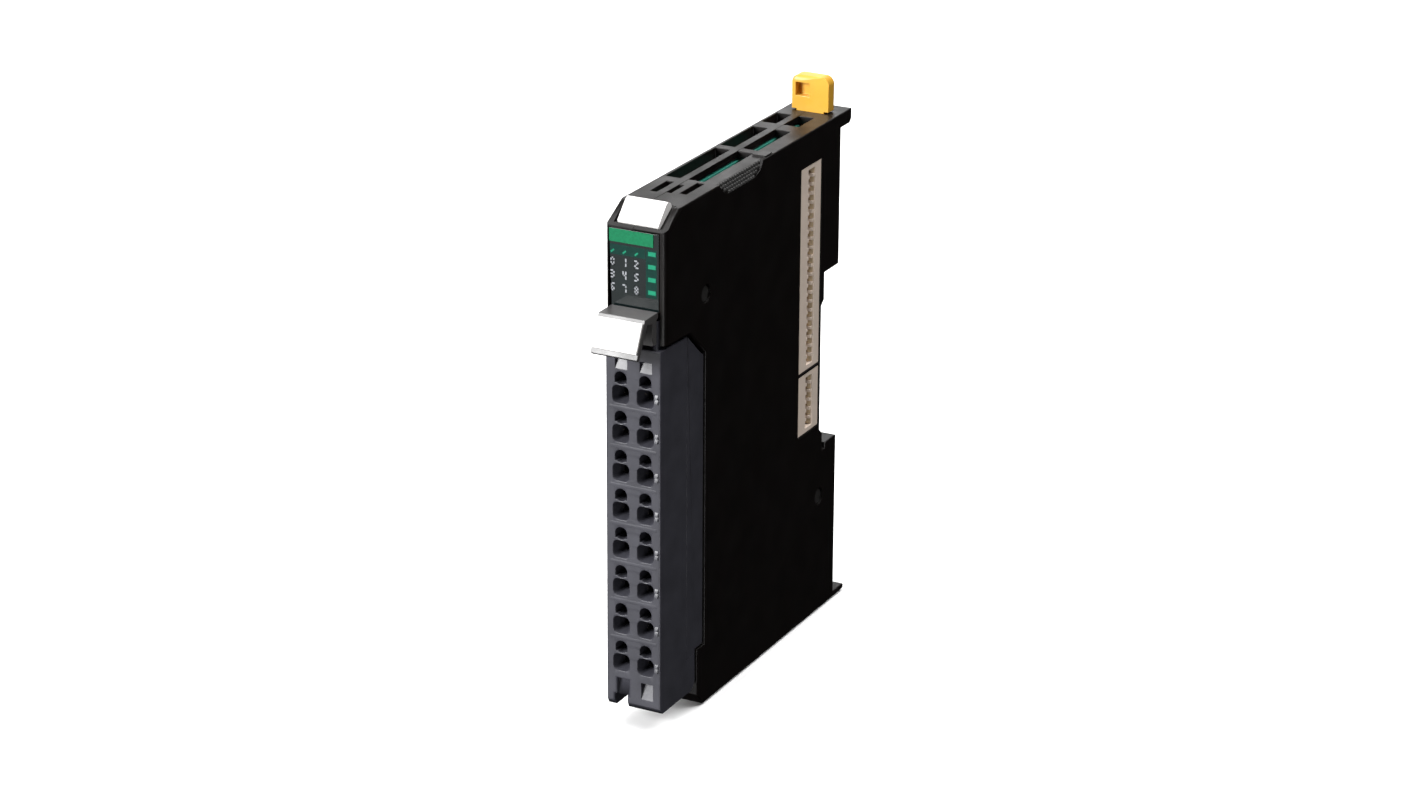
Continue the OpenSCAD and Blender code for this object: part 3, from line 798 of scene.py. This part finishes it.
def chip_body(b, low, high):
    """A moulded body with the draft of its two mould halves."""
    middle = (low.x + high.x) / 2
    rings = []
    for x, inset in ((low.x, 0.12), (middle - 0.05, 0), (middle + 0.05, 0), (high.x, 0.14)):
        rings.append([(x, low.y + inset, low.z + inset), (x, high.y - inset, low.z + inset),
                      (x, high.y - inset, high.z - inset), (x, low.y + inset, high.z - inset)])
    loft(b, rings)


def gull_lead(b, root, side, axis, across, width, reach, board):
    """A bent lead from the body's flank down to the board. root is (x, place along axis)."""
    x, a = root
    path = [(x, a), (x, a + side * reach * 0.35), (board + 0.1, a + side * reach * 0.55),
            (board + 0.1, a + side * reach)]
    upper = [(p[0] + 0.07, p[1] + side * 0.04 * (i in (1, 2))) for i, p in enumerate(path)]
    lower = [(p[0] - 0.07, p[1] - side * 0.04 * (i in (1, 2))) for i, p in enumerate(path)]
    rings = []
    for w in (across - width / 2, across + width / 2):
        points = upper + lower[::-1]
        rings.append([(u, v, w) if axis == 1 else (u, w, v) for u, v in points])
    loft(b, rings)


def chips(node, axes, leads, width, reach):
    """Moulded chips with bent leads, each with a pin-one mark."""
    bodies, metal, marks = bmesh.new(), bmesh.new(), bmesh.new()
    for low, high in islands(node):
        inner_low, inner_high = low.copy(), high.copy()
        inner_low.x += 0.15
        for axis in axes:
            inner_low[axis] += reach
            inner_high[axis] -= reach
        chip_body(bodies, inner_low, inner_high)
        middle = (inner_low.x + inner_high.x) / 2
        for axis in axes:
            row = 3 - axis
            span = inner_high[row] - inner_low[row]
            for i in range(leads):
                across = inner_low[row] + span * (i + 0.5) / leads
                gull_lead(metal, (middle, inner_low[axis]), -1, axis, across, width, reach, low.x)
                gull_lead(metal, (middle, inner_high[axis]), 1, axis, across, width, reach, low.x)
        disc(marks, (inner_low.y + 0.8, inner_high.z - 0.8), 0.28, high.x - 0.01, 0.02)
    bevel(bodies, 0.05, 2)
    finish(bodies, node + "_piece", "chip_black", "case", [node])
    finish(metal, node + "_leads", "tinned_metal", "case")
    finish(marks, node + "_marks", "chip_black", "case", material=INK_GREY)


def capped(node, slot, cap):
    """Surface-mount parts whose plated ends wrap round the body, along z."""
    bodies, ends = bmesh.new(), bmesh.new()
    for low, high in islands(node):
        box(bodies, (low.x + 0.03, high.x - 0.03), (low.y + 0.03, high.y - 0.03),
            (low.z + cap * 0.5, high.z - cap * 0.5))
        for z in ((low.z, low.z + cap), (high.z - cap, high.z)):
            box(ends, (low.x, high.x), (low.y, high.y), z)
    bevel(bodies, 0.04, 2)
    bevel(ends, 0.07, 3)
    finish(bodies, node + "_piece", slot, "case", [node])
    finish(ends, node + "_ends", "tinned_metal", "case")


def tube_x(b, centre, profile, steps=48):
    """Adds a turned shape about an axis along x, from (x, radius) pairs."""
    loft(b, [[(x, centre[0] + r * math.cos(a), centre[1] + r * math.sin(a))
              for a in (math.tau * i / steps for i in range(steps))] for x, r in profile])


def can_capacitors():
    """Aluminium cans with a crimped foot, a domed shoulder and a scored top, on black plinths."""
    cans, feet, marks = bmesh.new(), bmesh.new(), bmesh.new()
    for low, high in islands("bulk_capacitors"):
        centre = ((low.y + high.y) / 2, (low.z + high.z) / 2)
        r = (high.y - low.y) / 2
        top = high.x
        box(feet, (low.x, low.x + 0.55), (low.y + 0.05, high.y - 0.05), (low.z + 0.05, high.z - 0.05))
        tube_x(cans, centre, [(low.x + 0.5, r * 0.93), (low.x + 0.9, r * 0.97), (low.x + 1.1, r * 0.86),
                              (low.x + 1.3, r * 0.86), (low.x + 1.5, r * 0.97), (top - 0.45, r * 0.97),
                              (top - 0.15, r * 0.93), (top - 0.02, r * 0.8), (top - 0.02, r * 0.74),
                              (top - 0.1, r * 0.7)])
        half = [(centre[0] + r * 0.66 * math.cos(a), centre[1] + r * 0.66 * math.sin(a))
                for a in (math.pi * (0.15 + 0.7 * i / 12) for i in range(13))]
        loft(marks, [[(x, y, z) for y, z in half] for x in (top - 0.12, top - 0.08)])
    bevel(feet, 0.25, 2, lambda e: abs(e.verts[0].co.x - e.verts[1].co.x) > 0.3)
    finish(cans, "bulk_capacitors_piece", "can_aluminium", "case", ["bulk_capacitors"])
    finish(feet, "bulk_capacitors_feet", "header_black", "case")
    finish(marks, "bulk_capacitors_marks", "chip_black", "case")


def inductor():
    """Ferrite drum in a square shield, with the winding in the gap and two plated ends."""
    low, high = limits("power_inductor")
    centre = ((low.y + high.y) / 2, (low.z + high.z) / 2)
    shield, winding, ends = bmesh.new(), bmesh.new(), bmesh.new()
    half = (high.y - low.y) / 2
    middle = Vector(centre)
    outer = [middle + Vector((y, z)) for y, _, z in round_square(Vector(), half, 1.1, 0, 7)]
    inner = [middle + (p - middle).normalized() * 2.35 for p in outer]
    loft(shield, [[(x, *p) for p in ring] for x, ring in
                  ((low.x + 0.1, outer), (high.x - 0.2, outer), (high.x - 0.2, inner),
                   (high.x - 0.9, inner))])
    tube_x(shield, centre, [(low.x + 0.3, 1.2), (high.x - 0.5, 1.2), (high.x - 0.45, 2.05),
                            (high.x - 0.05, 2.05), (high.x, 1.95)])
    turns = []
    for i in range(8):
        x = high.x - 0.9 + i * 0.05
        turns += [(x, 2.0), (x + 0.025, 2.15)]
    tube_x(winding, centre, turns)
    for z in ((low.z - 0.05, low.z + 1.1), (high.z - 1.1, high.z + 0.05)):
        box(ends, (low.x, low.x + 0.35), (low.y + 1.2, high.y - 1.2), z)
    bevel(shield, 0.1, 2, lambda e: e.calc_length() < 4 and roomy(e, 0.4))
    bevel(ends, 0.06, 2)
    finish(shield, "power_inductor_piece", "ferrite_grey", "case", ["power_inductor"])
    finish(winding, "power_inductor_winding", "contact_gold", "case", material=WINDING)
    finish(ends, "power_inductor_ends", "tinned_metal", "case")


def board_runs():
    """Copper runs from the isolators to the controller, and plated holes in the free places."""
    runs, holes = bmesh.new(), bmesh.new()
    x = (BOARD_X[0] - 0.01, BOARD_X[0] + 0.03)
    chip_low = limits("bus_controller_chip")[0]
    sources = islands("channel_isolators")
    for i, (low, high) in enumerate(sorted(sources, key=lambda pair: -pair[0].z)):
        lane = RUN_FIRST_Y + i * RUN_PITCH
        z = (low.z + high.z) / 2 + (0.5 if low.y > 30 else -0.6)
        box(runs, x, (high.y - 0.2, lane + RUN_HALF), (z - RUN_HALF, z + RUN_HALF))
        box(runs, x, (lane - RUN_HALF, lane + RUN_HALF), (z - RUN_HALF, chip_low.z + 0.3))
    taken = [pair for node in ("channel_isolators", "chip_resistors", "bus_controller_chip",
                               "power_inductor", "bulk_capacitors", "bus_socket_long",
                               "bus_socket_short") for pair in islands(node)]
    for row in range(HOLE_ROWS):
        for column in range(HOLE_COLUMNS):
            y = 20 + column * 3 + (row * 7 % 5) * 0.45
            z = 8 + row * 2.9 + (column * 5 % 7) * 0.3
            if (row * 3 + column * 5) % 4 or any(
                    low.y - HOLE_CLEARANCE < y < high.y + HOLE_CLEARANCE
                    and low.z - HOLE_CLEARANCE < z < high.z + HOLE_CLEARANCE for low, high in taken):
                continue
            for side, face in ((1, BOARD_X[0]), (-1, BOARD_X[1])):
                tube_x(holes, (y, z), [(face, 0.34), (face + side * 0.04, 0.3), (face + side * 0.04, 0.16),
                                       (face - side * 0.1, 0.14)], 16)
    finish(runs, "circuit_board_runs", "board_green", "case", material=COPPER_RUN, weighted=False)
    finish(holes, "circuit_board_holes", "tinned_metal", "case")


chips("channel_isolators", (1,), 2, 0.5, 0.9)
chips("bus_controller_chip", (1, 2), 14, 0.3, 1.1)
capped("chip_resistors", "chip_black", 0.4)
capped("chip_capacitors", "capacitor_tan", 0.6)
can_capacitors()
inductor()
board_runs()

# ---------------------------------------------------------------- everything else

DONE = {"case_left", "case_right", "block_housing", "bus_socket_contacts", "bus_socket_long",
        "bus_socket_short", "channel_isolators", "bus_controller_chip", "chip_resistors",
        "chip_capacitors", "bulk_capacitors", "power_inductor"}
for node in frame["nodes"]:
    if node not in DONE:
        from_cad(node)
